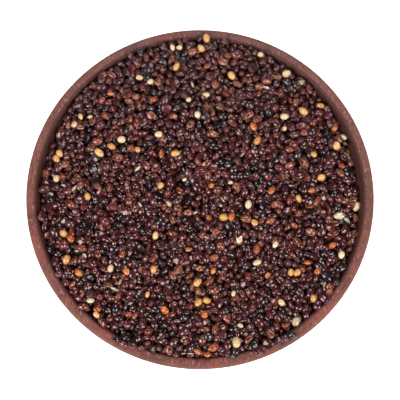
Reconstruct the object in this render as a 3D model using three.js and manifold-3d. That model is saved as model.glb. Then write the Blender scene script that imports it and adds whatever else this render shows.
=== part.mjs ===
// A small turned wooden bowl, filled to its lip with black millet.
// Millimetres, +Z up, origin at the middle of the bowl's flat base.

import * as THREE from "three";
import { ConvexHull } from "three/addons/math/ConvexHull.js";
import { mergeVertices } from "three/addons/utils/BufferGeometryUtils.js";
import Module from "manifold-3d";

// ---------------------------------------------------------------- driving dimensions

const BOWL = {
  diameter: 110, // outside, across the lip
  height: 44,
  base: 50, // diameter of the flat base
  lip: 3.6, // wall thickness at the lip
  floor: 6.5, // wood under the middle of the hollow
  heelRound: 1.6, // rounding between the base and the side
  outerRound: 1.0, // rounding of the lip's outer edge
  innerRound: 1.3, // rounding of the lip's inner edge
  drawIn: 3.2, // how far the outside draws in under the lip
  hollowIn: 7.0, // how far the hollow draws in under the lip
  flare: 18, // how far the side runs out, low over the base, before it turns up
  sides: 60, // facets round the axis
};

const GRAIN = { length: 3.0, width: 2.15, thickness: 1.8 };

const HEAP = {
  overLip: 0.5, // mean level at the wall, over the lip
  crown: 2.0, // rise from the wall to the middle
  ripple: 0.45, // height of the slow waves that pouring leaves
  // Banks and scoops at the wall: direction in degrees, rise, and how steeply it fades inwards.
  sides: [
    [12, -4.6, 4],
    [90, 1.5, 3],
    [168, -3.6, 9],
    [270, 1.0, 3],
  ],
  gap: 0.3, // clearance to the wood
  pitch: 2.8, // mean distance between neighbouring grain tops
  relief: 1.4, // from the top of a grain to the valley beside it
  loose: 40, // whole grains that lie proud of the rest
  looseRise: 0.4, // height of a loose grain's middle over the heap, in thicknesses
  looseTilt: 0.25, // steepest lean of a loose grain, in radians
  unevenness: 0.08, // how much a grain's size strays from the mean, as a share
  wallSides: 120, // facets where the heap meets the wall
};

const OUTER_STEPS = 8;
const INNER_STEPS = 8;
const LIP_STEPS = 3;
const GOLDEN_ANGLE = Math.PI * (3 - Math.sqrt(5));
const SEED = 20417;

// ---------------------------------------------------------------- helpers

// Repeatable random numbers from 0 to 1.
function seeded(seed) {
  let state = seed >>> 0;
  return () => {
    state = (state + 0x6d2b79f5) >>> 0;
    let t = state;
    t = Math.imul(t ^ (t >>> 15), t | 1);
    t ^= t + Math.imul(t ^ (t >>> 7), t | 61);
    return ((t ^ (t >>> 14)) >>> 0) / 4294967296;
  };
}

// Points of a quarter round, from one angle to another.
function arcPoints(centre, radius, from, to, steps) {
  return Array.from({ length: steps + 1 }, (_, i) => {
    const angle = THREE.MathUtils.degToRad(from + ((to - from) * i) / steps);
    return new THREE.Vector2(
      centre.x + radius * Math.cos(angle),
      centre.y + radius * Math.sin(angle),
    );
  });
}

// Points spread evenly over a disc, as seeds in a sunflower head, each nudged at random.
function spread(count, radius, nudge, random) {
  return Array.from({ length: count }, (_, i) => {
    const r = radius * Math.sqrt((i + 0.5) / count);
    const angle = i * GOLDEN_ANGLE;
    return new THREE.Vector2(
      r * Math.cos(angle) + nudge * (random() - 0.5),
      r * Math.sin(angle) + nudge * (random() - 0.5),
    );
  });
}

// ---------------------------------------------------------------- bowl

const LIP_RADIUS = BOWL.diameter / 2;
const HOLLOW_RADIUS = LIP_RADIUS - BOWL.lip;

// The hollow, from the lip's inner edge down to the axis, as points of radius and height.
function hollowProfile() {
  const wall = new THREE.CubicBezierCurve(
    new THREE.Vector2(HOLLOW_RADIUS, BOWL.height - BOWL.innerRound),
    new THREE.Vector2(HOLLOW_RADIUS - BOWL.hollowIn, BOWL.height * 0.5),
    new THREE.Vector2(HOLLOW_RADIUS * 0.62, BOWL.floor),
    new THREE.Vector2(0, BOWL.floor),
  );
  return wall.getPoints(INNER_STEPS);
}

// The outside, from the heel up to the lip's outer edge.
function outsideProfile() {
  const foot = BOWL.base / 2;
  const side = new THREE.CubicBezierCurve(
    new THREE.Vector2(foot + BOWL.heelRound, BOWL.heelRound),
    new THREE.Vector2(foot + BOWL.flare, BOWL.height * 0.2),
    new THREE.Vector2(LIP_RADIUS - BOWL.drawIn, BOWL.height * 0.55),
    new THREE.Vector2(LIP_RADIUS, BOWL.height - BOWL.outerRound),
  );
  return side.getPoints(OUTER_STEPS);
}

function makeBowl() {
  const foot = BOWL.base / 2;
  const outerEdge = new THREE.Vector2(
    LIP_RADIUS - BOWL.outerRound,
    BOWL.height - BOWL.outerRound,
  );
  const innerEdge = new THREE.Vector2(
    HOLLOW_RADIUS + BOWL.innerRound,
    BOWL.height - BOWL.innerRound,
  );
  const profile = [
    new THREE.Vector2(0, 0),
    new THREE.Vector2(foot, 0),
    new THREE.Vector2(foot + BOWL.heelRound * 0.7, BOWL.heelRound * 0.3),
    ...outsideProfile(),
    ...arcPoints(outerEdge, BOWL.outerRound, 0, 90, LIP_STEPS).slice(1),
    ...arcPoints(innerEdge, BOWL.innerRound, 90, 180, LIP_STEPS).slice(0, -1),
    ...hollowProfile(),
  ];
  const wood = new THREE.MeshStandardMaterial({
    color: 0x8f5d53,
    roughness: 0.62,
    metalness: 0,
  });
  const bowl = new THREE.Mesh(
    new THREE.LatheGeometry(profile, BOWL.sides),
    wood,
  );
  bowl.name = "bowl";
  bowl.rotation.x = Math.PI / 2; // a lathe turns about Y
  return bowl;
}

// ---------------------------------------------------------------- heap of millet

// Radius of the hollow at a height, on the same facets as the bowl.
function hollowRadius(z, profile) {
  const i = Math.max(1, profile.findIndex((p) => p.y <= z));
  const [high, low] = [profile[i - 1], profile[i]];
  const share = Math.min(1, (z - low.y) / (high.y - low.y));
  return low.x + (high.x - low.x) * share;
}

// The level of the heap before its grains are raised on it.
function heapLevel(x, y) {
  const r = Math.hypot(x, y) / HOLLOW_RADIUS;
  const waves =
    Math.sin(x / 9.5 + 0.8) * Math.cos(y / 8.1 - 0.4) +
    0.6 * Math.sin((x + y) / 5.3) * Math.cos((x - y) / 6.7 + 1.1);
  const rises = HEAP.sides.map(([degrees, rise, sharpness]) => {
    const turn = THREE.MathUtils.degToRad(degrees);
    const towards = x * Math.cos(turn) + y * Math.sin(turn);
    return rise * Math.max(0, towards / HOLLOW_RADIUS) ** sharpness;
  });
  return rises.reduce(
    (level, rise) => level + rise,
    BOWL.height + HEAP.overLip + HEAP.crown * (1 - r * r) + HEAP.ripple * waves,
  );
}

// Delaunay triangles of flat points: the underside of the hull of the points lifted to a paraboloid.
function delaunay(points) {
  const lifted = points.map(
    (p) => new THREE.Vector3(p.x, p.y, p.x * p.x + p.y * p.y),
  );
  const number = new Map(lifted.map((v, i) => [v, i]));
  const apex = new THREE.Vector3(0, 0, 10 * LIP_RADIUS * LIP_RADIUS);
  const hull = new ConvexHull().setFromPoints([...lifted, apex]);
  const triangles = [];
  for (const face of hull.faces) {
    const corners = [face.edge, face.edge.next, face.edge.prev];
    const [a, c, b] = corners.map((edge) => number.get(edge.head().point));
    const onTop = [a, b, c].includes(undefined);
    if (!onTop && face.normal.z < 0) triangles.push([a, b, c]);
  }
  return triangles;
}

// The heap's core: grain-sized bumps on top, and the shape of the hollow below.
function heapCore(random) {
  const hollow = hollowProfile();
  const underside = hollow.filter((_, i) => i % 2 === 1);
  const tops = HOLLOW_RADIUS - GRAIN.width * 0.62 - HEAP.gap;
  const cell = HEAP.pitch * HEAP.pitch * Math.sin(Math.PI / 3);
  const count = Math.round((Math.PI * tops * tops) / cell);
  const peaks = spread(count, tops, HEAP.pitch * 0.55, random);
  const heights = peaks.map(
    (p) => heapLevel(p.x, p.y) + HEAP.relief * (0.3 + 0.5 * random()),
  );

  // Where the heap meets the wall, as angles round the axis with a height at each.
  const wallAngles = Array.from(
    { length: HEAP.wallSides },
    (_, i) => (2 * Math.PI * i) / HEAP.wallSides,
  );
  const ringPoint = (angle, radius, z) =>
    new THREE.Vector3(radius * Math.cos(angle), radius * Math.sin(angle), z);
  const wall = wallAngles.map((angle) => {
    const edge = ringPoint(angle, HOLLOW_RADIUS, 0);
    const level = heapLevel(edge.x, edge.y) + HEAP.relief * (0.5 * random() - 0.3);
    const z = Math.min(level, BOWL.height - BOWL.innerRound); // under the lip's rounding
    return ringPoint(angle, hollowRadius(z, hollow) - HEAP.gap, z);
  });
  const vertices = [
    ...peaks.map((p, i) => new THREE.Vector3(p.x, p.y, heights[i])),
    ...wall,
  ];
  const faces = [];

  // Each triangle of neighbours gets a valley at its middle; a grain's facets run round its own peak.
  const plan = [
    ...peaks,
    ...wallAngles.map((angle) => ringPoint(angle, HOLLOW_RADIUS, 0)),
  ];
  const valleyBeside = new Map();
  for (const corners of delaunay(plan)) {
    const middle = corners
      .reduce((sum, i) => sum.add(vertices[i]), new THREE.Vector3())
      .divideScalar(3);
    const depth = HEAP.relief * (0.35 + 0.3 * random());
    middle.z = heapLevel(middle.x, middle.y) - depth;
    vertices.push(middle);
    corners.forEach((a, k) => {
      valleyBeside.set(`${a},${corners[(k + 1) % 3]}`, vertices.length - 1);
    });
  }
  for (const [edge, left] of valleyBeside) {
    const [a, b] = edge.split(",").map(Number);
    const right = valleyBeside.get(`${b},${a}`) ?? b;
    faces.push([a, right, left]);
  }

  // The side and underside, ring by ring, down to the axis.
  let above = wall.map((_, i) => peaks.length + i);
  const lowestWall = Math.min(...wall.map((p) => p.z));
  for (const p of underside.filter((q) => q.y < lowestWall)) {
    const ring = wallAngles.map((angle) => {
      vertices.push(ringPoint(angle, p.x - HEAP.gap, p.y + HEAP.gap));
      return vertices.length - 1;
    });
    ring.forEach((low, i) => {
      const next = (i + 1) % ring.length;
      faces.push([above[i], low, above[next]], [above[next], low, ring[next]]);
    });
    above = ring;
  }
  vertices.push(new THREE.Vector3(0, 0, BOWL.floor + HEAP.gap));
  const bottom = vertices.length - 1;
  above.forEach((a, i) => {
    faces.push([a, bottom, above[(i + 1) % above.length]]);
  });

  const geometry = new THREE.BufferGeometry();
  geometry.setFromPoints(vertices);
  geometry.setIndex(faces.flat());
  return geometry;
}

// Whole grains lying on the heap: pointed ovals with few sides.
function looseGrains(random) {
  const oval = new THREE.SphereGeometry(0.5, 6, 4);
  const reach = HOLLOW_RADIUS - GRAIN.length * 0.8;
  const rise = HEAP.looseRise * GRAIN.thickness;
  const place = new THREE.Object3D();
  const either = (limit) => limit * (2 * random() - 1); // from -limit to limit
  return spread(HEAP.loose, reach, HEAP.pitch * 2, random)
    .filter((p) => p.length() < reach)
    .map((p) => {
      place.position.set(p.x, p.y, heapLevel(p.x, p.y) + rise);
      place.scale.set(GRAIN.length, GRAIN.width, GRAIN.thickness);
      place.scale.multiplyScalar(1 + either(HEAP.unevenness));
      place.rotation.set(0, either(HEAP.looseTilt), either(Math.PI), "ZYX");
      place.updateMatrix();
      // The sphere's poles are turned on to the grain's long axis first.
      return oval.clone().rotateZ(Math.PI / 2).applyMatrix4(place.matrix);
    });
}

// ---------------------------------------------------------------- joining

const wasm = await Module();
wasm.setup();

function toSolid(geometry) {
  const bare = new THREE.BufferGeometry();
  bare.setAttribute("position", geometry.getAttribute("position"));
  bare.setIndex(geometry.index);
  const merged = mergeVertices(bare, 1e-4);
  return new wasm.Manifold(
    new wasm.Mesh({
      numProp: 3,
      vertProperties: merged.attributes.position.array,
      triVerts: new Uint32Array(merged.index.array),
    }),
  );
}

function toGeometry(solid) {
  const { vertProperties, triVerts } = solid.getMesh();
  const geometry = new THREE.BufferGeometry();
  geometry.setAttribute(
    "position",
    new THREE.BufferAttribute(vertProperties, 3),
  );
  geometry.setIndex(new THREE.BufferAttribute(triVerts, 1));
  geometry.computeVertexNormals();
  return geometry;
}

function makeMillet() {
  const random = seeded(SEED);
  const core = toSolid(heapCore(random));
  const joined = looseGrains(random).reduce(
    (heap, grain) => heap.add(toSolid(grain)),
    core,
  );
  // A grain that lies clear of all others would be a body of its own, and is dropped.
  const [heap] = joined
    .decompose()
    .sort((a, b) => b.volume() - a.volume());
  const hull = new THREE.MeshStandardMaterial({
    color: 0x37201f,
    roughness: 0.35,
    metalness: 0,
  });
  const millet = new THREE.Mesh(toGeometry(heap), hull);
  millet.name = "millet";
  return millet;
}

const bowlOfMillet = new THREE.Group();
bowlOfMillet.add(makeBowl(), makeMillet());

export default bowlOfMillet;
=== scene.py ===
# %% [markdown]
# # A wooden bowl of black millet
# A small turned bowl, filled to its lip with some thousands of glossy millet grains.
# The script is a lesson in cells: words on what each thing is and why it is made this way, then the
# code that makes it. Lengths are in metres, the bowl's base is on the floor and its axis upright.

# %% Load the frame
import math

import bmesh
import bpy
import numpy as np
from mathutils import Matrix, Vector, noise
from mathutils.geometry import interpolate_bezier
from mathutils.kdtree import KDTree


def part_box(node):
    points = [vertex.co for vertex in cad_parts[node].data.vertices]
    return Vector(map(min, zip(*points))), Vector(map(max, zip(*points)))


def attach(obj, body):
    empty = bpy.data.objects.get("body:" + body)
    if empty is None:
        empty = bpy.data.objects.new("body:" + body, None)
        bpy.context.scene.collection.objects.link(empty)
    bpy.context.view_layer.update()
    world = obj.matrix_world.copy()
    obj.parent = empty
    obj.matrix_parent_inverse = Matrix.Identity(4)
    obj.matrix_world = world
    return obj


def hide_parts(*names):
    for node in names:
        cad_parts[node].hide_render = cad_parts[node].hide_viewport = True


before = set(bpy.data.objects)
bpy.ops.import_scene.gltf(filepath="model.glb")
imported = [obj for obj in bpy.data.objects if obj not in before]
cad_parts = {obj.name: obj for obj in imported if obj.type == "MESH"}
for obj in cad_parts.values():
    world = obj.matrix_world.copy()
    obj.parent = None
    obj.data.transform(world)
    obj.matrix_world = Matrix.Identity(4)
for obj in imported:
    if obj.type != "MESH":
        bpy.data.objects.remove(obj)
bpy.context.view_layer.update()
print("frame nodes:", ", ".join(sorted(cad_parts)))

# %% [markdown]
# ## Sizes
# The frame gives the outside of the bowl, and the rest is named here once. The millet sets the
# scale of the picture: a grain of black millet in its hull is some 3 mm long, over 2 mm wide and
# slightly flat, and the pale ones, bare of their hull, are stubbier. Each side of the heap is noted
# as a direction in degrees, its rise over the level there, and how narrow the rise or dip is.

# %% Sizes of the bowl, the heap and a grain
MM = 0.001
bowl_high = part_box("bowl")[1]
LIP_RADIUS = bowl_high.x
HEIGHT = bowl_high.z
LIP = 3.6 * MM
FLOOR = 6.5 * MM
FOOT_RADIUS = 25.0 * MM
HEEL_ROUND = 1.6 * MM
OUTER_ROUND = 1.0 * MM
INNER_ROUND = 1.3 * MM
DRAW_IN = 3.2 * MM
HOLLOW_IN = 7.0 * MM
FLARE = 18.0 * MM
HOLLOW_RADIUS = LIP_RADIUS - LIP

GRAIN_LENGTH = 2.8 * MM
GRAIN_WIDTH = 2.08 * MM
GRAIN_THICKNESS = 1.72 * MM
HULLED_SIZE = 1.06
BARE_LENGTH = 0.92

OVER_LIP = 0.5 * MM
CROWN = 2.0 * MM
SIDES = [(12, -4.6 * MM, 4), (90, 1.5 * MM, 3), (168, -3.6 * MM, 9), (270, 1.0 * MM, 3)]
RIPPLE = 0.45 * MM
LAYERS_DEEP = 4.6 * MM
CLEARANCE = 0.3 * MM
print(f"bowl {2000 * LIP_RADIUS:.0f} mm wide and {1000 * HEIGHT:.0f} mm high")

# %% [markdown]
# ## The camera
# The lip of a round bowl is seen as an ellipse, whose flatness tells how steeply the camera looks
# down: here 77 degrees. A long lens from half a metre away keeps the near and the far lip alike in
# width, and spreads the lip's radius over as many pixels as in the photograph.

# %% Place the camera
IMAGE = 400
ELEVATION = 77.3
DISTANCE = 550 * MM
AIM = Vector((0, -1.27 * MM, HEIGHT - OUTER_ROUND))
FOCAL_PIXELS = 1739.5
SENSOR = 36


def put_in_scene(name, data):
    """A new object at the origin, linked to the scene."""
    made = bpy.data.objects.new(name, data)
    bpy.context.scene.collection.objects.link(made)
    return made


def aimed_at_bowl(name, data, azimuth, elevation, distance):
    """A camera or a lamp that looks at the bowl. Azimuth 0 is in front, 90 to the right."""
    made = put_in_scene(name, data)
    turned = math.radians(azimuth)
    raised = math.radians(elevation)
    flat = math.cos(raised)
    way = Vector((math.sin(turned) * flat, -math.cos(turned) * flat, math.sin(raised)))
    made.location = AIM + way * distance
    made.rotation_euler = (AIM - made.location).to_track_quat("-Z", "Y").to_euler()
    return made


camera_data = bpy.data.cameras.new("camera")
camera_data.sensor_width = SENSOR
camera_data.lens = SENSOR * FOCAL_PIXELS / IMAGE
camera = aimed_at_bowl("camera", camera_data, 0, ELEVATION, DISTANCE)
bpy.context.scene.camera = camera
bpy.context.view_layer.update()
print(f"lens {camera_data.lens:.0f} mm")

# %% [markdown]
# Some grains lie where the photograph shows them, so a pixel has to be turned into a place: a ray
# runs from the camera through the pixel to the wanted height.

# %% From a pixel to a place
def place_seen_at(column, row, height):
    """The point at a height that the camera sees at a pixel."""
    across = (column + 0.5 - IMAGE / 2) / FOCAL_PIXELS
    up = (IMAGE / 2 - row - 0.5) / FOCAL_PIXELS
    ray = camera.matrix_world.to_3x3() @ Vector((across, up, -1))
    return camera.location + ray * ((height - camera.location.z) / ray.z)


middle = place_seen_at(IMAGE / 2, IMAGE / 2, HEIGHT)
print(f"the middle of the picture shows {1000 * middle.x:.1f}, {1000 * middle.y:.1f} mm")

# %% [markdown]
# ## The light
# Each grain carries a few small bright spots, most on its lower half: the mark of two soft lamps in
# front of the bowl and a third behind it. The rest is the glow of a pale room. Each lamp is noted as
# two angles in degrees, distance and width in metres, and power in watts.

# %% Lamps and room
LAMP_COLOUR = (1.0, 0.94, 0.88)
LAMPS = {
    "lamp left": (-50, 38, 0.7, 0.40, 6.5),
    "lamp right": (48, 36, 0.7, 0.38, 5.2),
    "lamp behind": (165, 58, 0.8, 0.34, 3.6),
}
for name, (azimuth, elevation, distance, width, power) in LAMPS.items():
    lamp = bpy.data.lights.new(name, "AREA")
    lamp.shape = "SQUARE"
    lamp.size = width
    lamp.energy = power
    lamp.color = LAMP_COLOUR
    aimed_at_bowl(name, lamp, azimuth, elevation, distance)

room = bpy.data.worlds.new("pale room")
bpy.context.scene.world = room
room.use_nodes = True
glow = room.node_tree.nodes["Background"].inputs
glow["Color"].default_value = (1.0, 0.93, 0.88, 1)
glow["Strength"].default_value = 0.1
bpy.context.scene.view_settings.view_transform = "Standard"
print("soft lamps:", ", ".join(LAMPS))

# %% [markdown]
# ## Helpers for materials
# A material is a small tree of nodes. One helper adds a node with its options, links the sockets
# and sets the values that are handed to it. The others stand for nodes that are needed often.

# %% Add a node, start a material, start a group
def feed(tree, sockets, values):
    """Links or sets sockets by name or number."""
    for name, value in values.items():
        if isinstance(value, bpy.types.NodeSocket):
            tree.links.new(value, sockets[name])
        else:
            sockets[name].default_value = value


def add(tree, kind, inputs=None, **options):
    """A new node: options are its settings, and inputs its values or the sockets that feed it."""
    made = tree.nodes.new("ShaderNode" + kind)
    for name, value in options.items():
        setattr(made, name, value)
    feed(tree, made.inputs, inputs or {})
    return made


def start_material(name, constants):
    """A material whose tree holds only its shader, with its constant values."""
    material = bpy.data.materials.new(name)
    material.use_nodes = True
    tree = material.node_tree
    tree.nodes.clear()
    shader = add(tree, "BsdfPrincipled", constants)
    add(tree, "OutputMaterial", {"Surface": shader.outputs[0]})
    return material, tree, shader


def start_group(name, inputs, outputs):
    """A node group with named sockets. A tuple as default makes a colour socket."""
    tree = bpy.data.node_groups.new(name, "ShaderNodeTree")
    for label, value in inputs.items():
        kind = "NodeSocketColor" if isinstance(value, tuple) else "NodeSocketFloat"
        socket = tree.interface.new_socket(label, in_out="INPUT", socket_type=kind)
        socket.default_value = value
    for label, kind in outputs.items():
        tree.interface.new_socket(label, in_out="OUTPUT", socket_type="NodeSocket" + kind)
    start = tree.nodes.new("NodeGroupInput")
    end = tree.nodes.new("NodeGroupOutput")
    return tree, start.outputs, end.inputs


def tree_of(*values):
    """The tree of the first socket among some values."""
    return next(value.id_data for value in values if isinstance(value, bpy.types.NodeSocket))


def mix_colour(share, first, second, blend="MIX"):
    """Blends two colours and gives the socket of the result."""
    values = {0: share, 6: first, 7: second}
    tree = tree_of(share, first, second)
    return add(tree, "Mix", values, data_type="RGBA", blend_type=blend).outputs[2]


def calculate(operation, *values, kind="Math"):
    """A sum, a product or another rule of numbers, as the socket of its result."""
    return add(tree_of(*values), kind, dict(enumerate(values)), operation=operation).outputs[0]


def on_vectors(operation, *values):
    """The same for vectors."""
    return calculate(operation, *values, kind="VectorMath")


def times(*values):
    """The product of several numbers or sockets."""
    product = values[0]
    for value in values[1:]:
        product = calculate("MULTIPLY", product, value)
    return product


def between(value, low, high):
    """A mask that rises smoothly from 0 at low to 1 at high, or falls where low is the larger."""
    span = {"Value": value, "From Min": low, "From Max": high}
    smooth = add(tree_of(value), "MapRange", span, interpolation_type="SMOOTHSTEP")
    return smooth.outputs["Result"]


def noise_at(place, scale, detail):
    """Soft noise in space."""
    inputs = {"Vector": place, "Scale": scale, "Detail": detail}
    return add(tree_of(place), "TexNoise", inputs).outputs["Fac"]


def moved(place, **moves):
    """A place that is shifted, turned or drawn out."""
    return add(tree_of(place), "Mapping", {"Vector": place, **moves}).outputs["Vector"]


def from_mesh(tree, name, output="Fac"):
    """What an attribute of the mesh says of each point."""
    return add(tree, "Attribute", attribute_name=name).outputs[output]


def parts_of(vector):
    """The sockets of a vector's three numbers."""
    return add(tree_of(vector), "SeparateXYZ", {"Vector": vector}).outputs


print("helpers ready")

# %% [markdown]
# ## The floor
# A wide disc of white acrylic. A little light comes out of it from below, as on a photographer's
# table, so that hardly any shadow shows round the bowl. It is stage and not a part.

# %% Make the floor
def finished(name, mesh, material):
    """An object at the origin, unturned, whose mesh holds its place."""
    mesh.materials.append(material)
    mesh.shade_smooth()
    return put_in_scene(name, mesh)


def mesh_of(name, bm):
    """A mesh that takes over what a bmesh holds."""
    mesh = bpy.data.meshes.new(name)
    bm.to_mesh(mesh)
    bm.free()
    return mesh


matt = {"Roughness": 0.5, "Specular IOR Level": 0.2}
lit_from_below = {"Emission Color": (1, 1, 1, 1), "Emission Strength": 0.75}
acrylic, tree, shader = start_material("white acrylic", matt | lit_from_below)
haze = noise_at(add(tree, "TexCoord").outputs["Object"], 6.0, 2.0)
paleness = mix_colour(haze, (0.80, 0.80, 0.80, 1), (0.86, 0.86, 0.86, 1))
feed(tree, shader.inputs, {"Base Color": paleness})

bm = bmesh.new()
bmesh.ops.create_circle(bm, cap_ends=True, radius=2.0, segments=96)
floor = finished("floor", mesh_of("floor", bm), acrylic)
print("floor laid")

# %% [markdown]
# ## The bowl's wood
# Reddish brown wood, turned on a lathe and left matt. Three things make it read as wood: soft bands
# of growth, short dark pores along the fibres, and small pale flecks between them. All run through
# the block as in real timber, so the bowl's curve cuts end grain and long grain from them. The
# group gives masks, and the material turns them into colour, gloss and depth.

# %% Wood fibre as a node group
SOFT_EDGE = 0.12


def make_fibre_group():
    group, given, result = start_group(
        "wood fibre",
        {"Band Scale": 70.0, "Band Bend": 4.0, "Pore Share": 0.44, "Fleck Share": 0.42},
        {"Bands": "Float", "Blotches": "Float", "Pores": "Float", "Flecks": "Float", "Grains": "Color"},
    )
    here = add(group, "TexCoord").outputs["Object"]
    along_fibre = moved(here, Location=(0, 0.031, 0.052), Rotation=(0.12, 0.05, 1.45))
    rings = {"Vector": along_fibre, "Scale": given["Band Scale"], "Distortion": given["Band Bend"]}
    rings |= {"Detail": 3.0, "Detail Scale": 0.9, "Detail Roughness": 0.6}
    bands = add(group, "TexWave", rings, wave_type="RINGS", rings_direction="X").outputs["Fac"]
    blotches = noise_at(here, 95.0, 4.0)
    drawn_out = moved(along_fibre, Scale=(0.32, 1.0, 1.0))
    low = given["Pore Share"]
    pores = noise_at(drawn_out, 2300.0, 2.0)
    pores = between(pores, low, calculate("SUBTRACT", low, SOFT_EDGE))
    high = calculate("SUBTRACT", 1.0, given["Fleck Share"])
    flecks = noise_at(moved(drawn_out, Location=(0.31, 0.17, 0.23)), 2100.0, 1.0)
    flecks = between(flecks, high, calculate("ADD", high, SOFT_EDGE))
    fine = between(noise_at(here, 3600.0, 1.0), 0.3, 0.7)
    grains = mix_colour(fine, (0.3, 0.3, 0.32, 1), (1.7, 1.62, 1.6, 1))
    masks = {"Bands": bands, "Blotches": blotches, "Pores": pores, "Flecks": flecks}
    feed(group, result, masks | {"Grains": grains})
    return group


FIBRE = make_fibre_group()
print("group made:", FIBRE.name)

# %% [markdown]
# The colour starts from two browns that the bands mix, reddened in blotches. Pores darken it and
# flecks lighten it, and a very fine mottling is laid over all. The lip's outer edge is worn a little
# paler and the far side has greyed. Shade is painted in too: the inside is painted darker, most at
# the far side, and the near side faintly. The mesh tells the material where by three attributes of
# its points: the worn edge, the greyed side and the painted shade.

# %% Make the wood
def make_wood():
    material, tree, shader = start_material("turned wood", {"Specular IOR Level": 0.2})
    bands, blotches, pores, flecks, grains = add(tree, "Group", node_tree=FIBRE).outputs
    worn, greyed, painted_shade = (from_mesh(tree, name) for name in ("edge", "greyed", "painted_shade"))
    colour = mix_colour(bands, (0.083, 0.033, 0.030, 1), (0.129, 0.048, 0.042, 1))
    colour = mix_colour(between(blotches, 0.42, 0.66), colour, (0.172, 0.052, 0.046, 1))
    colour = mix_colour(times(greyed, 0.45), colour, (0.110, 0.054, 0.057, 1))
    colour = mix_colour(times(pores, 0.8), colour, (0.036, 0.014, 0.014, 1))
    colour = mix_colour(times(flecks, 0.7), colour, (0.275, 0.138, 0.115, 1))
    colour = mix_colour(0.5, colour, grains, blend="MULTIPLY")
    colour = mix_colour(times(worn, 0.3), colour, (0.160, 0.072, 0.052, 1))
    # Painted shade: darker over the inside and, faintly, over the near side.
    colour = mix_colour(times(painted_shade, 0.9), colour, (0.044, 0.0145, 0.0125, 1))
    dull = calculate("MULTIPLY_ADD", blotches, 0.18, 0.52)
    depth = calculate("SUBTRACT", flecks, pores)
    bump = add(tree, "Bump", {"Height": depth, "Strength": 0.5, "Distance": 0.05 * MM})
    normal = bump.outputs["Normal"]
    feed(tree, shader.inputs, {"Base Color": colour, "Roughness": dull, "Normal": normal})
    return material


WOOD = make_wood()
print("material made:", WOOD.name)

# %% [markdown]
# ## The bowl
# A turner moves a gouge along a profile while the block spins. The same is done here: one profile
# of radius and height is spun once round the axis. The long sweeps are single cubic curves, and
# the lip is two quarter rounds.

# %% Draw the profile
def sweep(start, first, second, end, steps):
    """Points of radius and height along one cubic curve."""
    corners = [Vector((r, z, 0)) for r, z in (start, first, second, end)]
    return [(p.x, p.y) for p in interpolate_bezier(*corners, steps + 1)]


def quarter(centre, radius, begin, steps):
    """Points of a quarter round, from one angle in degrees to 90 more."""
    turns = [math.radians(begin + 90 * i / steps) for i in range(steps + 1)]
    return [(centre[0] + radius * math.cos(t), centre[1] + radius * math.sin(t)) for t in turns]


def hollow_profile(steps):
    """The inside, from the lip's inner edge down to the axis."""
    start = (HOLLOW_RADIUS, HEIGHT - INNER_ROUND)
    wall = (HOLLOW_RADIUS - HOLLOW_IN, 0.5 * HEIGHT)
    return sweep(start, wall, (0.62 * HOLLOW_RADIUS, FLOOR), (0, FLOOR), steps)


def bowl_profile():
    heel = [(0, 0), (FOOT_RADIUS, 0), (FOOT_RADIUS + 0.7 * HEEL_ROUND, 0.3 * HEEL_ROUND)]
    start = (FOOT_RADIUS + HEEL_ROUND, HEEL_ROUND)
    flare = (FOOT_RADIUS + FLARE, 0.2 * HEIGHT)
    side = (LIP_RADIUS - DRAW_IN, 0.55 * HEIGHT)
    outside = sweep(start, flare, side, (LIP_RADIUS, HEIGHT - OUTER_ROUND), 28)
    outer = quarter((LIP_RADIUS - OUTER_ROUND, HEIGHT - OUTER_ROUND), OUTER_ROUND, 0, 8)
    inner = quarter((HOLLOW_RADIUS + INNER_ROUND, HEIGHT - INNER_ROUND), INNER_ROUND, 90, 8)
    return heel + outside + outer[1:] + inner[:-1] + hollow_profile(28)


print("profile points:", len(bowl_profile()))

# %% [markdown]
# A spin can turn the shape inside out, so the normals are worked out again after the doubles on the
# axis are merged. Three attributes are then filled from each point's place: edge is 1 on the lip's
# outer edge, greyed is 1 at the far side, and the painted shade is up to 1 on the inside, most at
# the far side, and up to a fifth on the near side.

# %% Spin the bowl
# How dark the painted shade on the near side gets at most.
NEAR_SHADE = 0.2
SLACK = 0.1 * MM


def spin_profile(points, steps):
    """A closed solid of revolution from a profile that starts and ends on the axis."""
    bm = bmesh.new()
    verts = [bm.verts.new((r, 0, z)) for r, z in points]
    edges = [bm.edges.new(ends) for ends in zip(verts, verts[1:])]
    whole_turn = {"cent": (0, 0, 0), "axis": (0, 0, 1), "angle": 2 * math.pi}
    bmesh.ops.spin(bm, geom=verts + edges, steps=steps, use_merge=True, **whole_turn)
    bmesh.ops.remove_doubles(bm, verts=bm.verts, dist=0.001 * MM)
    bmesh.ops.recalc_face_normals(bm, faces=bm.faces)
    return bm


hollow = np.array(hollow_profile(40))[::-1]
bm = spin_profile(bowl_profile(), 160)
edge, greyed, painted_shade = [bm.verts.layers.float.new(name) for name in ("edge", "greyed", "painted_shade")]
for v in bm.verts:
    r = math.hypot(v.co.x, v.co.y)
    from_top = (HEIGHT - v.co.z) / OUTER_ROUND
    from_side = (LIP_RADIUS - r) / OUTER_ROUND
    v[edge] = max(0.0, 1.0 - 0.5 * (from_top + from_side))
    v[greyed] = min(1.0, max(0.0, 0.3 + (v.co.y + 0.3 * v.co.x) / LIP_RADIUS))
    # Painted shade, faint, over the near side.
    v[painted_shade] = NEAR_SHADE * max(0.0, -v.co.y / LIP_RADIUS) ** 2
    wall_reach = np.interp(v.co.z, hollow[:, 1], hollow[:, 0]) + SLACK
    on_round = v.co.z > HEIGHT - INNER_ROUND and r < HOLLOW_RADIUS + INNER_ROUND
    # Painted shade over the inside wall and the inner round, darkest at the far side.
    if on_round or (v.co.z > FLOOR - SLACK and r < wall_reach):
        behind = 0.5 + 0.5 * v.co.y / max(r, 1e-6)
        inward = (HOLLOW_RADIUS + INNER_ROUND - r) / INNER_ROUND
        v[painted_shade] = min(1.0, v[painted_shade] + (0.3 + 3.4 * behind) * max(0.0, inward))
bowl = finished("bowl-turned", mesh_of("bowl-turned", bm), WOOD)
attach(bowl, "root")
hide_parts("bowl")
print("bowl faces:", len(bowl.data.polygons))

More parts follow.
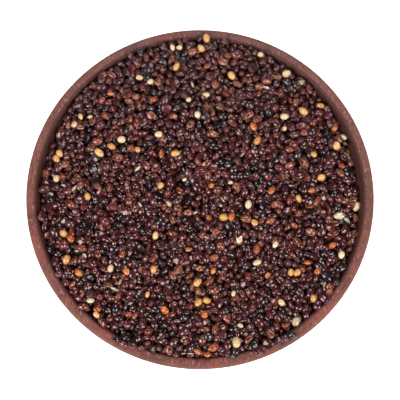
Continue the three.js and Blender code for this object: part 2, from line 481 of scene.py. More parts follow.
# %% [markdown]
# ## The level of the heap
# Poured grain is a little crowned in the middle, with slow waves where the stream wandered. At the
# back and in front it is banked up against the lip, and on the right and the left it is scooped out
# so that some of the wall shows. Everything in the heap is laid out from this one function.

# %% The level of the heap
def heap_level(x, y):
    """The heap's mean height over a place, for numbers or whole arrays."""
    r = np.hypot(x, y) / HOLLOW_RADIUS
    waves = np.sin(x / (9.5 * MM) + 0.8) * np.cos(y / (8.1 * MM) - 0.4)
    waves = waves + 0.6 * np.sin((x + y) / (5.3 * MM)) * np.cos((x - y) / (6.7 * MM) + 1.1)
    level = HEIGHT + OVER_LIP + CROWN * (1 - r * r) + RIPPLE * waves
    for degrees, rise, sharpness in SIDES:
        turn = math.radians(degrees)
        towards = (x * math.cos(turn) + y * math.sin(turn)) / HOLLOW_RADIUS
        level = level + rise * np.maximum(0, towards) ** sharpness
    return level


print(f"middle of the heap {1000 * (heap_level(0, 0) - HEIGHT):.1f} mm over the lip")

# %% [markdown]
# ## One grain
# A millet grain is shut in two hard scales. The larger wraps the round back and folds over the
# edges of the smaller, which shows as a flatter panel on the front. A few dozen faces are enough
# at this size: a sphere is stretched, drawn to a point and pressed in where the panel lies, once
# its lengthwise lines are gathered at the fold.

# %% Shape a grain
SPHERE_TURNS = [i / 6 for i in range(7)]
HULL_TURNS = [0, 0.16, 0.275, 0.34, 0.50, 0.74, 1]
FOLD_TURN = 0.34


def as_arrays(bm):
    """Corners and faces of a bmesh as arrays. A triangle has -1 as its fourth corner."""
    bm.verts.index_update()
    corners = np.array([v.co[:] for v in bm.verts])
    faces = np.array([[v.index for v in f.verts] + [-1] * (4 - len(f.verts)) for f in bm.faces])
    bm.free()
    return corners, faces


def grain_shape(around, along, panel=0.0, fold=0.0, point=0.09, uneven=0.0, bend=0.0, seed=0):
    """Corners, faces and marks of one grain, long axis X, panel up, measured in half sizes."""
    bm = bmesh.new()
    bmesh.ops.create_uvsphere(bm, u_segments=around, v_segments=along, radius=1.0)
    bmesh.ops.rotate(bm, verts=bm.verts, matrix=Matrix.Rotation(math.radians(90), 3, "Y"))
    marks, spots = [], []
    for v in bm.verts:
        x = v.co.x
        side = math.copysign(1.0, v.co.y)
        turn = abs(math.atan2(v.co.y, v.co.z)) / math.pi
        if fold:
            turn = float(np.interp(turn, SPHERE_TURNS, HULL_TURNS))
        reach = math.sqrt(max(0.0, 1 - abs(x) ** 2.5))
        spot = Vector((x, side * reach * math.sin(math.pi * turn), reach * math.cos(math.pi * turn)))
        taper = 1.0 - 0.10 * x - 0.08 * x * x
        pressed = panel * max(0.0, 1 - (turn / FOLD_TURN) ** 6) * (1 - x * x)
        rim = math.exp(-(((turn - FOLD_TURN) / 0.05) ** 2)) * (1 - x**6)
        dent = uneven * noise.noise(spot * 1.5 + Vector((3.7 * seed, 0, 0)))
        swell = taper * (1 + fold * rim + dent)
        z = spot.z * swell * (1 - pressed) + bend * (x * x - 0.3)
        v.co = (x + point * max(0.0, x) ** 5, spot.y * swell, z)
        marks.append((x, turn, rim))
        spots.append(spot[:])
    return *as_arrays(bm), np.array(marks), np.array(spots)


# How deep the panel is, how high its fold, how long the point, the unevenness, the bend, a seed.
HULLED_FORMS = [
    (0.18, 0.07, 0.09, 0.35, 0.0, 1),
    (0.10, 0.05, 0.14, 0.45, 0.12, 2),
    (0.34, 0.13, 0.12, 0.35, 0.0, 3),
    (0.20, 0.09, 0.04, 0.50, -0.10, 4),
    (0.26, 0.10, 0.16, 0.55, 0.18, 8),
    (0.14, 0.06, 0.02, 0.40, 0.0, 9),
]
HULLED = [grain_shape(12, 7, *form) for form in HULLED_FORMS]
NAKED = [
    grain_shape(12, 7, point=0.05, uneven=0.12, seed=5),
    grain_shape(12, 7, point=0.12, uneven=0.18, seed=6),
]
HIDDEN = [grain_shape(8, 5, uneven=0.12, seed=7)]
print("faces of a grain:", len(HULLED[0][1]), "near the top,", len(HIDDEN[0][1]), "below")

# %% [markdown]
# ## One empty hull
# Lost scales lie between the grains: thin, hollow and pointed at both ends. Each starts as a small
# grid that is drawn in to a lens, arched both ways, frayed a little, and given the thickness of
# stiff paper.

# %% Shape an empty hull
def shell_shape(curl, arch, point, frayed, seed):
    """Corners, faces and marks of one scale, long axis X, hollow side down, in half sizes."""
    bm = bmesh.new()
    bmesh.ops.create_grid(bm, x_segments=6, y_segments=3, size=1.0)
    for v in bm.verts:
        x, y = v.co.x, v.co.y
        width = 1 - abs(x) ** point
        fray = frayed * noise.noise(Vector((1.6 * x, 1.6 * y, 7.7 * seed)))
        height = curl * (width * (1 - y * y) - 0.5) - arch * x * x
        v.co = (x * (1 + 0.4 * fray * y), y * width * (1 + fray), height)
    bmesh.ops.remove_doubles(bm, verts=bm.verts, dist=0.001)
    bmesh.ops.recalc_face_normals(bm, faces=bm.faces)
    bmesh.ops.solidify(bm, geom=bm.faces[:], thickness=0.12)
    bmesh.ops.recalc_face_normals(bm, faces=bm.faces)
    marks = []
    for v in bm.verts:
        sideways = min(1.0, abs(v.co.y) / max(0.1, 1 - abs(v.co.x) ** point))
        marks.append((v.co.x, 0.3 + 0.5 * sideways, sideways**4))
    corners, faces = as_arrays(bm)
    return corners, faces, np.array(marks), corners


SHELLS = [
    shell_shape(0.9, 0.25, 2.0, 0.5, 11),
    shell_shape(0.6, 0.50, 1.5, 0.9, 12),
    shell_shape(1.2, 0.10, 2.6, 0.6, 13),
    shell_shape(0.4, 0.35, 1.8, 1.2, 14),
]
BROAD_SHELLS = [
    shell_shape(0.45, 0.15, 3.0, 0.30, 21),
    shell_shape(0.35, 0.25, 2.4, 0.45, 22),
    shell_shape(0.60, 0.10, 3.4, 0.25, 23),
]
print("faces of an empty hull:", len(SHELLS[0][1]))

# %% [markdown]
# ## Settling the grains
# Real grains fall and push each other aside. Rigid bodies could do that, but thousands of them take
# very long. A lighter way gives the same dense jumble: each grain is three balls in a row, all start
# in loose layers, and in many small steps they sink a little and balls that overlap push each other
# apart. The wall and the core push back too. The two end balls tell how the grain has turned.

# %% Start in loose layers
SEED = 20417
random = np.random.default_rng(SEED)
GOLDEN_ANGLE = math.pi * (3 - math.sqrt(5))
LAYERS = 3
GRAINS_A_LAYER = 1120
LAYER_HEIGHT = 1.65 * MM
ASTRAY = 0.35 * MM
LEAN = 0.3
MEAN_SIZE = 1.09
SIZE_SPREAD = 0.14


def spread(count, radius, twist, astray):
    """Places spread over a disc as seeds in a sunflower head, each a little astray."""
    index = np.arange(count)
    r = radius * np.sqrt((index + 0.5) / count)
    turn = index * GOLDEN_ANGLE + twist
    x = r * np.cos(turn) + random.normal(0, astray, count)
    return x, r * np.sin(turn) + random.normal(0, astray, count)


def directions(turn, lean):
    """Unit directions with a turn in the plan and a lean out of it."""
    return np.stack([np.cos(turn) * np.cos(lean), np.sin(turn) * np.cos(lean), np.sin(lean)], 1)


centres, axes = [], []
for layer in range(LAYERS):
    x, y = spread(GRAINS_A_LAYER, HOLLOW_RADIUS - 0.4 * MM, layer * 1.7, ASTRAY)
    z = heap_level(x, y) - LAYERS_DEEP + (layer + 0.7) * LAYER_HEIGHT
    centres.append(np.stack([x, y, z], 1))
    axes.append(directions(random.uniform(0, 2 * math.pi, len(x)), random.normal(0, LEAN, len(x))))
centres = np.concatenate(centres)
axes = np.concatenate(axes)
count = len(centres)
sizes = random.normal(MEAN_SIZE, SIZE_SPREAD, count).clip(0.75, 1.40)
print("grains:", count)

# %% [markdown]
# A k-d tree of the grains' middles tells which balls might touch. It is refreshed now and then,
# because the grains move only a little. Held grains are also drawn to a given place and direction.

# %% Let them settle
BALL_OFFSETS = np.array([-0.82, 0.0, 0.82]) * MM
BALL_RADII = np.array([0.60, 0.98, 0.60]) * MM
NEAR = 3.6 * MM
SINKING = 0.030 * MM
PULL = 0.12
PUSH = 1.4
REFRESHED_EACH = 12
FALL_STEPS = 220
HOLD_STEPS = 110


def neighbours(points):
    """Every pair of grains close enough to touch, as two arrays of numbers."""
    tree = KDTree(len(points))
    for i, point in enumerate(points):
        tree.insert(point, i)
    tree.balance()
    near = ((i, j) for i, point in enumerate(points) for _, j, _ in tree.find_range(point, NEAR))
    return np.array([(i, j) for i, j in near if j > i]).T


def part(balls, radii, first, second):
    """Moves overlapping balls of different grains away from each other."""
    count = len(balls)
    apart = balls[first][:, :, None] - balls[second][:, None]
    distance = np.sqrt((apart**2).sum(-1)) + 1e-9
    overlap = radii[first][:, :, None] + radii[second][:, None] - distance
    pair, one, other = np.nonzero(overlap > 0)
    share = 0.5 * overlap[pair, one, other] / distance[pair, one, other]
    push = apart[pair, one, other] * share[:, None]
    slots = np.concatenate([first[pair] * 3 + one, second[pair] * 3 + other])
    pushes = np.concatenate([push, -push])
    moves = np.stack([np.bincount(slots, pushes[:, k], minlength=3 * count) for k in range(3)], 1)
    hits = np.bincount(slots, minlength=3 * count)[:, None]
    moves = PUSH * moves / np.sqrt(np.maximum(hits, 1))
    return balls + moves.reshape(count, 3, 3), overlap[overlap > 0]


def keep_inside(balls, radii):
    """Holds the balls off the wall and the lip of the bowl, and above the core."""
    reach = np.hypot(balls[..., 0], balls[..., 1])
    limit = np.interp(balls[..., 2], hollow[:, 1], hollow[:, 0]) - radii
    inward = np.minimum(0.0, reach - HOLLOW_RADIUS - INNER_ROUND)
    upward = balls[..., 2] - HEIGHT + INNER_ROUND
    push = np.maximum(0.0, (INNER_ROUND + radii) / (np.hypot(inward, upward) + 1e-9) - 1)
    at_lip = upward > 0
    wanted = np.where(at_lip, reach + inward * push, np.minimum(reach, limit))
    balls[..., :2] *= (wanted / np.maximum(reach, 1e-9))[..., None]
    balls[..., 2] += np.where(at_lip, upward * push, 0.0)
    ground = heap_level(balls[..., 0], balls[..., 1]) - LAYERS_DEEP + radii
    balls[..., 2] = np.maximum(balls[..., 2], ground)
    return balls


def settle(centres, axes, sizes, steps, sinking, held=(), goals=None, goal_axes=None):
    """Sinks the grains and parts those that overlap. Gives their middles and long axes."""
    offsets = BALL_OFFSETS[None, :, None] * sizes[:, None, None]
    radii = BALL_RADII[None, :] * sizes[:, None]
    for step in range(steps):
        if step % REFRESHED_EACH == 0:
            first, second = neighbours(centres)
        centres = centres - np.array([0.0, 0.0, sinking * (1 - step / steps)])
        if len(held):
            centres[held] += PULL * (goals - centres[held])
            axes[held] += PULL * (goal_axes - axes[held])
        balls = centres[:, None] + axes[:, None] * offsets
        balls, overlap = part(balls, radii, first, second)
        balls = keep_inside(balls, radii)
        centres = balls.mean(1)
        axes = balls[:, 2] - balls[:, 0]
        axes = axes / np.linalg.norm(axes, axis=1)[:, None]
    print(f"overlap left: mean {overlap.mean() / MM:.3f} mm, most {overlap.max() / MM:.2f} mm")
    return centres, axes


centres, axes = settle(centres, axes, sizes, FALL_STEPS, SINKING)
above = centres[:, 2] - heap_level(centres[:, 0], centres[:, 1])
print(f"middles from {above.min() / MM:.1f} to {above.max() / MM:.1f} mm about the heap's level")

# %% [markdown]
# ## Where the bright grains lie
# The golden, orange, cream and clear chestnut grains catch the eye, so they are laid where the
# photograph shows them, and so are the few dark ones spilled on to the lip.
# Each is noted as its column and row in the picture, the direction of its long side in degrees, and
# its size where that stands out. The nearest grain on top is drawn to the place.

# %% Note the bright grains and those on the lip
BRIGHT = {
    "golden": [
        (201, 48, -45, 1.05), (176, 66, 60, 1.1), (231, 75, -55), (80, 116, -60, 0.8),
        (111, 146, -20, 1.1), (98, 152, -35, 1.15), (59, 153, -50), (56, 158, -60),
        (175, 153, 10, 1.1), (160, 185, 60, 0.9), (87, 196, -75), (303, 111, -40, 1.1),
        (336, 145, 85, 1.15), (313, 154, -30, 0.9), (155, 235, 80), (153, 269, 85, 1.12),
        (223, 217, -15, 1.05), (197, 282, 40, 1.15), (198, 302, 60, 1.1), (206, 300, -15, 1.1),
        (313, 298, 75, 1.05), (291, 272, 80), (296, 272, 30, 1.05), (298, 198, -65, 0.95),
        (321, 177, 20, 1.1), (66, 259, 70, 1.15), (63, 233, -40), (96, 314, -50, 0.9),
        (147, 294, 75, 0.75), (254, 222, -45, 0.95),
    ],
    "cream": [
        (121, 139, 0, 1.05), (197, 114, 90, 0.95), (56, 178, 85), (158, 134, 5), (286, 73, 20, 1.05),
        (260, 54, 0, 0.8), (284, 128, 80, 0.75), (179, 47, 0, 0.75), (172, 47, -70, 0.8),
        (206, 94, -10, 0.85), (74, 124, 20), (90, 117, 0, 0.7), (257, 262, 20, 0.95),
        (90, 300, 0, 0.95), (248, 204, 80, 1.1), (284, 116, 0, 1.05), (281, 302, -50, 0.95),
        (275, 244, 55, 0.9), (341, 254, 80), (233, 293, 80, 0.7), (240, 325, -20, 0.75),
        (110, 268, 80, 0.95), (236, 342, 90, 1.25), (358, 206, 55, 1.2), (139, 77, -5, 0.85),
        (150, 81, 20, 0.85), (184, 179, 40, 0.6), (230, 182, 0, 0.7), (188, 99, 0, 0.75),
    ],
    "orange": [
        (110, 93, 0, 0.85), (153, 99, 10), (137, 149, -50, 0.85), (174, 116, 0, 0.75),
        (253, 126, -65, 1.2), (257, 140, 60, 1.1), (334, 128, 40, 0.9), (341, 165, -45, 0.95),
        (161, 153, 80), (62, 176, 0, 0.8), (320, 105, -10, 0.9), (231, 216, 70, 1.1),
        (208, 217, -50, 0.85), (211, 185, 20, 0.75), (256, 249, 85, 1.1), (213, 270, 60, 0.85),
        (126, 271, -70, 0.95), (97, 309, 15, 0.9), (207, 354, 5, 0.85), (197, 351, -30, 0.95),
        (204, 314, 80, 1.1), (78, 272, -55, 1.1), (128, 314, 0, 0.9), (70, 238, -60, 1.1),
        (271, 190, 50), (294, 225, -30, 0.9), (332, 245, 35, 0.95), (307, 262, -5, 0.85),
        (311, 190, 10), (317, 271, 50), (267, 275, 60, 0.8), (188, 249, 0, 0.75),
    ],
    "chestnut": [
        (105, 115, -50), (135, 96, -20), (129, 101, -35), (92, 120, 80), (91, 149, -10),
        (131, 148, -30), (171, 59, 60), (192, 51, 20), (237, 83, -30), (225, 93, -40),
        (219, 106, -15), (190, 124, 50), (76, 179, 0), (67, 191, 10), (188, 212, 0),
        (246, 218, -5, 1.1), (172, 233, -15), (217, 190, 15, 1.15), (236, 186, -60), (97, 186, -50),
        (97, 141, 10, 1.1), (213, 133, -30), (289, 200, 80), (275, 204, 30), (270, 220, 30, 1.1),
        (226, 318, -55), (215, 329, 80, 1.1), (184, 339, 25, 1.05), (81, 248, -10, 1.15),
        (74, 261, 40, 0.85), (353, 199, 35), (355, 234, 40), (107, 284, 15), (198, 291, -60, 0.85),
        (199, 268, 0, 0.85), (270, 334, -45, 0.9),
    ],
}
ON_LIP = {
    "golden": [(206, 38, 100, 1.15)],
    "ink": [
        (116, 339, 20), (125, 337, -30), (138, 338, 60, 0.9), (233, 355, 20, 0.8), (235, 350, 80),
        (253, 345, 40), (278, 339, 30, 0.9), (290, 335, -20),
    ],
    "plum": [
        (123, 342, -40), (131, 344, -20, 1.1), (141, 347, 0, 0.8), (199, 37, 80), (224, 41, -40, 0.9),
        (259, 351, 30), (264, 348, -10, 0.8), (268, 344, 20), (285, 338, 40, 0.9),
    ],
}
print({kind: len(places) for kind, places in BRIGHT.items()})

# %% [markdown]
# The height of a place on the heap depends on the place, so the ray through its pixel is cut with
# the heap's level twice. For the grains on the lip the height is the lip's own.

# %% Hold the noted grains in their places
PROUD = 0.1 * MM
OVER_WOOD = 0.9 * MM
REACH = 1.9 * MM
LIP_REACH = 5.0 * MM


def place_on_heap(column, row):
    """The point on the heap's level that the camera sees at a pixel."""
    place = place_seen_at(column, row, HEIGHT)
    for _ in range(2):
        place = place_seen_at(column, row, float(heap_level(place.x, place.y)) + PROUD)
    return np.array(place)


def take_highest(place, free, reach):
    """The number of the highest free grain near a place."""
    away = np.hypot(centres[:, 0] - place[0], centres[:, 1] - place[1])
    score = np.where(free & (away < reach), above - 0.5 * away, -1.0)
    return int(score.argmax())


KINDS = ["ink", "plum", "wine", "chestnut", "orange", "golden", "cream"]
NAKED_KINDS = KINDS[4:]
held, goals, lies = [], [], []
kinds = np.full(count, -1)
free = np.ones(count, bool)
for table, on_lip in ((BRIGHT, False), (ON_LIP, True)):
    for kind, places in table.items():
        for column, row, lie, *size in places:
            goal = place_on_heap(column, row)
            if on_lip:
                goal = np.array(place_seen_at(column, row, HEIGHT + OVER_WOOD))
            number = take_highest(goal, free, LIP_REACH if on_lip else REACH)
            free[number] = False
            kinds[number] = KINDS.index(kind)
            whole = 1.0 if kind in NAKED_KINDS else HULLED_SIZE
            sizes[number] = (size[0] if size else 1.0) * whole
            held.append(number)
            goals.append(goal)
            lies.append(math.radians(lie))

goals = np.array(goals)
lies = np.array(lies)
goal_axes = directions(lies, random.normal(0, 0.12, len(lies)))
backwards = (axes[held] * goal_axes).sum(1) < 0
goal_axes[backwards] *= -1
slower = 0.3 * SINKING
centres, axes = settle(centres, axes, sizes, HOLD_STEPS, slower, held, goals, goal_axes)
above = centres[:, 2] - heap_level(centres[:, 0], centres[:, 1])
missed = np.hypot(*(centres[held] - goals)[:, :2].T)
print(f"{len(held)} grains held, {missed.mean() / MM:.2f} mm from their places on average")

# %% [markdown]
# Most grains lie flat, so the broad face is turned up and then rolled at random, and half of them
# show the panel and half the back. A grain whose middle is less than 2.1 mm under the heap's level
# may be seen, and is made in full.

# %% Roll the grains
SEEN_DEPTH = 2.1 * MM
ROLL_SPREAD = 0.6


def turned_frames(axes, panel_up, roll):
    """Three unit directions for each grain: along it, across it, and out of its panel."""
    up = np.array([0.0, 0.0, 1.0])
    across = np.cross(up, axes)
    across = across / np.maximum(np.linalg.norm(across, axis=1), 1e-6)[:, None]
    out = np.cross(axes, across) * panel_up[:, None]
    across = across * panel_up[:, None]
    cosine, sine = np.cos(roll)[:, None], np.sin(roll)[:, None]
    return np.stack([axes, across * cosine + out * sine, out * cosine - across * sine], 1)


flip = np.where(random.random(count) < 0.5, 1.0, -1.0)
axes = axes * np.where(random.random(count) < 0.5, 1.0, -1.0)[:, None]
frames = turned_frames(axes, flip, random.normal(0, ROLL_SPREAD, count))
HALVES = 0.5 * np.array([GRAIN_LENGTH, GRAIN_WIDTH, GRAIN_THICKNESS])
stretch = HALVES * sizes[:, None] * random.normal(1.0, 0.06, (count, 3)).clip(0.84, 1.14)
stretch[np.isin(kinds, [KINDS.index(kind) for kind in NAKED_KINDS]), 0] *= BARE_LENGTH
draws = random.random((count, 3))
is_top = above > -SEEN_DEPTH
print("grains near the top:", int(is_top.sum()))

# %% [markdown]
# ## The hulls' colours
# The hulls run from ink black through plum and wine red to chestnut, and a few grains are orange,
# golden or cream. They share one build: a colour drawn from three, a second hue from one end, paler
# rims where the large scale folds over the panel, wrinkles that break up the shine, and fine stripes
# where the nerves run. The far side is duller with dust. The group reads the place on the grain and
# its draws from the mesh, so the pattern sits on each grain however it lies.

# %% The hull as a node group
NERVE_SPACING = 0.22
COLOURS = ("Dark", "Middle", "Light", "Blush", "Rim")
SHARES = ("Blush Share", "Rim Share", "Wrinkle Share", "Stripe Share")


def make_hull_group():
    inputs = dict.fromkeys(COLOURS, (0.1, 0.05, 0.05, 1.0)) | dict.fromkeys(SHARES, 0.3)
    outputs = {"Colour": "Color", "Roughness": "Float", "Height": "Float"}
    group, given, result = start_group("millet hull", inputs, outputs)
    lengthwise, turn, rim = parts_of(from_mesh(group, "marks", "Vector"))
    spot = from_mesh(group, "spot", "Vector")
    draws = from_mesh(group, "draws", "Vector")
    tone, warmth, chance = parts_of(draws)
    far_off = on_vectors("MULTIPLY", draws, (37, 41, 53))
    drawn_out = on_vectors("MULTIPLY", spot, (0.30, 1, 1))
    own = on_vectors("ADD", spot, far_off)
    own_long = on_vectors("ADD", drawn_out, far_off)
    blotch = noise_at(own, 1.2, 1.0)
    wrinkle = noise_at(own_long, 1.9, 1.0)
    speck = noise_at(own, 6.0, 1.0)

    colour = mix_colour(between(tone, 0.0, 0.6), given["Dark"], given["Middle"])
    colour = mix_colour(between(tone, 0.55, 1.0), colour, given["Light"])
    end = between(calculate("ADD", lengthwise, blotch), 1.4, -0.4)
    blush = times(end, between(warmth, 0.2, 0.9), given["Blush Share"])
    colour = mix_colour(blush, colour, given["Blush"])
    shade = times(between(blotch, 0.55, 0.30), 0.6)
    colour = mix_colour(shade, colour, given["Dark"])
    ridge = times(between(wrinkle, 0.50, 0.72), given["Wrinkle Share"])
    colour = mix_colour(ridge, colour, given["Rim"])
    tips = between(calculate("ABSOLUTE", lengthwise), 0.78, 1.0)
    edges = calculate("MAXIMUM", between(rim, 0.35, 0.95), tips)
    patchy = between(speck, 0.35, 0.60)
    edges = times(edges, given["Rim Share"], patchy, between(chance, 0.0, 0.8))
    colour = mix_colour(edges, colour, given["Rim"])
    phase = times(turn, 2 * math.pi / NERVE_SPACING)
    wave = calculate("COSINE", calculate("ADD", times(wrinkle, 3.0), phase))
    stripes = times(between(wave, 0.5, 1.0), given["Stripe Share"], between(warmth, 0.9, 0.3))
    colour = mix_colour(stripes, colour, given["Rim"])

    far_side = parts_of(add(group, "TexCoord").outputs["Object"])["Y"]
    dusty = times(between(far_side, -5 * MM, 45 * MM), 0.22)
    rough = calculate("ADD", calculate("MULTIPLY_ADD", speck, 0.08, 0.06), dusty)
    relief = calculate("ADD", times(wrinkle, 0.7), times(speck, 0.03))
    from_fold = calculate("ABSOLUTE", calculate("SUBTRACT", turn, FOLD_TURN))
    fold_line = times(between(from_fold, 0.05, 0.0), 0.5)
    height = calculate("ADD", relief, calculate("ADD", times(wave, 0.07), fold_line))
    feed(group, result, {"Colour": colour, "Roughness": rough, "Height": height})
    return group


HULL = make_hull_group()
print("group made:", HULL.name)

# %% [markdown]
# Each kind is then one row: its three colours from dark to light, its blush and its rim, and how
# much it shows of blush, rim, wrinkles and stripes. Some rows end with their own tint of the gloss
# and, for the smooth bare kinds and the thin hulls, a shallower relief.

# %% One material for each kind
GLOSS_TINT = (1.0, 0.83, 0.84, 1)
WARM_TINT = (1, 0.95, 0.9, 1)


def make_hull(name, dark, middle, light, blush, rim, shares, tint=GLOSS_TINT, depth=0.10 * MM):
    """The material of one kind of grain."""
    material, tree, shader = start_material(name, {"Specular IOR Level": 0.6, "Specular Tint": tint})
    colours = [(*colour, 1) for colour in (dark, middle, light, blush, rim)]
    hull = add(tree, "Group", node_tree=HULL)
    feed(tree, hull.inputs, dict(zip(COLOURS, colours)) | dict(zip(SHARES, shares)))
    colour, rough, height = hull.outputs
    normal = add(tree, "Bump", {"Height": height, "Distance": depth}).outputs["Normal"]
    feed(tree, shader.inputs, {"Base Color": colour, "Roughness": rough, "Normal": normal})
    return material


LOOKS = {
    "ink": (
        (0.003, 0.0027, 0.0034), (0.0066, 0.0052, 0.0066), (0.018, 0.011, 0.013),
        (0.018, 0.0035, 0.0065), (0.10, 0.058, 0.058), (0.9, 0.5, 0.25, 0.2), (1, 0.95, 1, 1),
    ),
    "plum": (
        (0.010, 0.0025, 0.0035), (0.026, 0.0058, 0.0084), (0.070, 0.021, 0.028),
        (0.042, 0.005, 0.011), (0.18, 0.085, 0.090), (0.7, 0.6, 0.30, 0.35),
    ),
    "wine": (
        (0.015, 0.0027, 0.0030), (0.042, 0.0058, 0.0068), (0.096, 0.018, 0.017),
        (0.030, 0.008, 0.0150), (0.24, 0.088, 0.080), (0.7, 0.6, 0.30, 0.35),
    ),
    "chestnut": (
        (0.034, 0.0078, 0.0045), (0.086, 0.018, 0.010), (0.175, 0.046, 0.024),
        (0.13, 0.015, 0.012), (0.38, 0.18, 0.12), (0.7, 0.9, 0.35, 0.8),
    ),
    "orange": (
        (0.19, 0.024, 0.013), (0.37, 0.088, 0.017), (0.50, 0.24, 0.065),
        (0.26, 0.030, 0.012), (0.60, 0.40, 0.16), (0.9, 0.8, 0.15, 0.2), (1, 0.9, 0.85, 1), 0.05 * MM,
    ),
    "golden": (
        (0.42, 0.20, 0.056), (0.50, 0.28, 0.100), (0.56, 0.38, 0.17),
        (0.42, 0.18, 0.045), (0.54, 0.38, 0.20), (0.7, 0.2, 0.15, 0.1), WARM_TINT, 0.03 * MM,
    ),
    "cream": (
        (0.46, 0.34, 0.20), (0.54, 0.42, 0.27), (0.58, 0.49, 0.36),
        (0.46, 0.30, 0.13), (0.56, 0.48, 0.38), (0.5, 0.2, 0.2, 0.1), WARM_TINT, 0.03 * MM,
    ),
    "deep": (
        (0.012, 0.0032, 0.0029), (0.034, 0.0072, 0.0064), (0.080, 0.019, 0.015),
        (0.034, 0.0065, 0.0060), (0.20, 0.088, 0.072), (0.7, 0.5, 0.3, 0.3),
    ),
    "pale": (
        (0.20, 0.17, 0.11), (0.46, 0.39, 0.27), (0.56, 0.51, 0.40),
        (0.34, 0.20, 0.10), (0.64, 0.58, 0.48), (0.4, 0.4, 0.3, 0.3), WARM_TINT, 0.04 * MM,
    ),
}
HULLS = {kind: make_hull(f"{kind} hull", *look) for kind, look in LOOKS.items()}
print("hull materials:", ", ".join(HULLS))

# %% [markdown]
# ## Sorting the grains
# All other grains take their kind by a seeded draw, mostly wine red and plum. Those that lie deeper
# show only in the gaps, so they share one dark hull and a simpler shape. A hulled grain takes one of
# six shapes, and a bright one, which has lost its hull, one of two smoother shapes.

# %% Give each grain a kind and a shape
KIND_SHARES = [0.13, 0.35, 0.40, 0.118, 0.002, 0.0, 0.0]
others = random.choice(len(KINDS), size=count, p=KIND_SHARES)
others[~is_top] = 0
kinds = np.where(kinds < 0, others, kinds)
is_top[held] = True
shape_numbers = random.integers(0, len(HULLED) * len(NAKED), count)
print({name: int((kinds == i).sum()) for i, name in enumerate(KINDS)})

# %% [markdown]
# ## Laying the empty hulls
# The pale hulls stand out, so the clear ones are noted as the bright grains are: column, row,
# direction, and half their length and width in millimetres. The dark ones can't be told apart and
# are strewn evenly.

# %% Note the pale hulls
PALE_HULLS = [
    (78, 86, 10, 1.0, 0.5), (192, 84, -65, 1.1, 0.4), (266, 87, -20, 1.2, 0.5),
    (299, 83, 30, 1.9, 0.9), (342, 137, -10, 1.5, 1.1), (64, 185, -10, 1.3, 0.4),
    (73, 188, 50, 1.4, 0.5), (168, 203, -50, 1.2, 0.6), (239, 238, 85, 1.5, 1.1),
    (120, 281, 65, 1.0, 0.45), (339, 215, 10, 1.9, 1.2), (346, 219, -40, 1.3, 0.6),
    (296, 321, 60, 1.5, 1.3), (137, 168, 45, 1.2, 0.45), (139, 187, 50, 1.5, 0.3),
    (140, 205, -60, 1.5, 0.45), (113, 288, -30, 1.5, 0.5), (84, 255, -50, 0.9, 0.45),
    (93, 270, -60, 1.1, 0.5), (324, 284, 75, 1.1, 0.4), (243, 153, 50, 1.2, 0.25),
    (204, 236, -35, 1.3, 0.25), (195, 212, 30, 0.8, 0.4), (294, 178, -20, 1.2, 0.6),
    (222, 199, -55, 1.0, 0.25), (183, 353, 0, 0.9, 0.25), (190, 353, 0, 1.1, 0.2),
]
STREWN = {"ink": 40, "plum": 60, "wine": 90, "chestnut": 50}
print("pale hulls noted:", len(PALE_HULLS))

# %% [markdown]
# A hull rests on the grains under its middle and its ends: a pale one lies on top, and a dark one
# has sunk a little and leans. Each grain counts as its three balls again to tell how high that is.

# %% Lay the hulls
ON_TOP = 0.45 * MM
SUNK = 0.15 * MM
GAP_DEPTH = 1.0 * MM
ball_offsets = axes[:, None] * BALL_OFFSETS[:, None] * sizes[:, None, None]
ball_places = (centres[:, None] + ball_offsets).reshape(-1, 3)
ball_radii = (BALL_RADII * sizes[:, None]).ravel()


def top_at(x, y):
    """The height of the highest ball over a place."""
    away = (ball_places[:, 0] - x) ** 2 + (ball_places[:, 1] - y) ** 2
    over = away < ball_radii**2
    if not over.any():
        return float(heap_level(x, y)) - GAP_DEPTH
    return float((ball_places[over, 2] + np.sqrt(ball_radii[over] ** 2 - away[over])).max())


def rest_height(x, y, turn, half):
    """The mean of the heights under a hull's middle and its two ends."""
    steps = (-0.7 * half, 0.0, 0.7 * half)
    return sum(top_at(x + s * math.cos(turn), y + s * math.sin(turn)) for s in steps) / 3


hull_rows = []
for column, row, lie, half, width in PALE_HULLS:
    turn = math.radians(lie)
    place = place_on_heap(column, row)
    z = rest_height(place[0], place[1], turn, half * MM) + ON_TOP
    place = place_seen_at(column, row, z)
    hull_rows.append((*place, turn, 0.05, half, width, "pale", random.normal(0, 0.15)))
for kind, number in STREWN.items():
    x, y = spread(number, HOLLOW_RADIUS - 1.5 * MM, 2.1 + len(hull_rows), 1.5 * MM)
    for i in np.flatnonzero(np.hypot(x, y) < HOLLOW_RADIUS - 1.0 * MM):
        turn = random.uniform(0, 2 * math.pi)
        half, width = random.uniform(0.8, 1.4), random.uniform(0.35, 0.95)
        z = rest_height(x[i], y[i], turn, half * MM) - SUNK
        lean, roll = random.normal(0, 0.4, 2)
        hull_rows.append((x[i], y[i], z, turn, lean, half, width, kind, roll))
print("empty hulls:", len(hull_rows))

# %% [markdown]
# ## Joining the grains
# A shape that is repeated thousands of times is best copied as numbers: one array product turns,
# stretches and places every copy, and a single mesh is made of them for each kind.

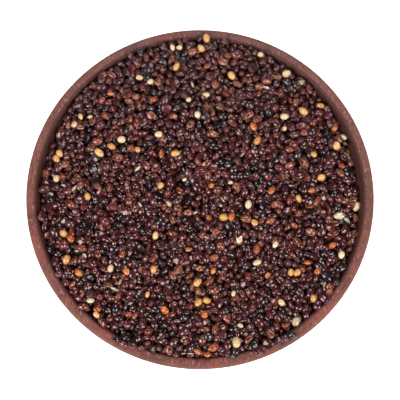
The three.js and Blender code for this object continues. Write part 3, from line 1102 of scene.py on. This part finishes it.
# %% One mesh for each kind
def joined(name, shapes, chosen, material):
    """One piece of many grains, each in one of the shapes, that rides on the bowl."""
    corners, faces, patterns, start = [], [], [], 0
    for i, (points, sides, marks, spots) in enumerate(shapes):
        numbers = np.flatnonzero(chosen & (shape_numbers % len(shapes) == i))
        placed = (points * stretch[numbers][:, None]) @ frames[numbers] + centres[numbers][:, None]
        corners.append(placed.reshape(-1, 3))
        steps = start + len(points) * np.arange(len(numbers))[:, None, None]
        faces += np.where(sides < 0, -1, sides + steps).reshape(-1, 4).tolist()
        same = [np.tile(pattern, (len(numbers), 1)) for pattern in (marks, spots)]
        patterns.append([*same, np.repeat(draws[numbers], len(points), axis=0)])
        start += len(corners[-1])
    rows = [[v for v in face if v >= 0] for face in faces]
    mesh = bpy.data.meshes.new(name)
    mesh.from_pydata(np.concatenate(corners).tolist(), [], rows)
    for label, *values in zip(("marks", "spot", "draws"), *patterns):
        attribute = mesh.attributes.new(label, "FLOAT_VECTOR", "POINT")
        attribute.data.foreach_set("vector", np.concatenate(values).ravel())
    piece = finished(name, mesh, material)
    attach(piece, "root")
    print(name, int(chosen.sum()), "grains,", len(rows), "faces")


for i, kind in enumerate(KINDS):
    shapes = NAKED if kind in NAKED_KINDS else HULLED
    joined(f"millet-{kind}", shapes, is_top & (kinds == i), HULLS[kind])
joined("millet-under", HIDDEN, ~is_top, HULLS["deep"])

# %% [markdown]
# The empty hulls are joined in the same way. Their rows of numbers take the place of those of the
# grains. The pale ones lie with the hollow side down, and so do about half of the dark ones.

# %% Join the empty hulls
columns = [np.array(column) for column in zip(*hull_rows)]
*places, turns, leans, halves, widths, hull_kinds, rolls = columns
total = len(hull_rows)
centres = np.stack(places, 1)
axes = directions(turns, leans)
up_or_down = np.where(random.random(total) < 0.5, 1.0, -1.0)
up_or_down[: len(PALE_HULLS)] = 1.0
frames = turned_frames(axes, up_or_down, rolls)
stretch = np.stack([halves, widths, 0.25 + 0.4 * widths], 1) * MM
draws = random.random((total, 3))
shape_numbers = random.integers(0, len(SHELLS) * len(BROAD_SHELLS), total)
for kind in ["pale", *STREWN]:
    shapes = BROAD_SHELLS if kind == "pale" else SHELLS
    joined(f"hulls-{kind}", shapes, hull_kinds == kind, HULLS[kind])

# %% [markdown]
# ## The heap's core
# Only the upper few layers of grain can be seen, so below them a closed core fills the hollow, just
# off the wood. Its top repeats the level of the heap with bumps of the grains' size, so that a deep
# gap ends on what looks like one more grain.

# %% Make the core
BUMP = 0.6 * MM
BUMP_SPACING = 2.2 * MM
RINGS = 44
wall = [(r - CLEARANCE, z + CLEARANCE) for r, z in hollow_profile(14)[3:-1]]
rim_radius, rim_height = wall[0]
top = [(rim_radius * (1 - i / RINGS), rim_height) for i in range(1, RINGS + 1)]
bm = spin_profile([(0, FLOOR + CLEARANCE)] + wall[::-1] + top, 150)
for v in bm.verts:
    inside = 1 - (math.hypot(v.co.x, v.co.y) / rim_radius) ** 8
    if v.co.z > rim_height - 0.001 * MM and inside > 0:
        distance = noise.voronoi(v.co / BUMP_SPACING)[0][0]
        goal = heap_level(v.co.x, v.co.y) - LAYERS_DEEP + BUMP * (0.5 - distance)
        v.co.z += inside * (goal - v.co.z)
core = finished("heap-core", mesh_of("heap-core", bm), HULLS["deep"])
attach(core, "root")
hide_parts("millet")
print("core faces:", len(core.data.polygons))
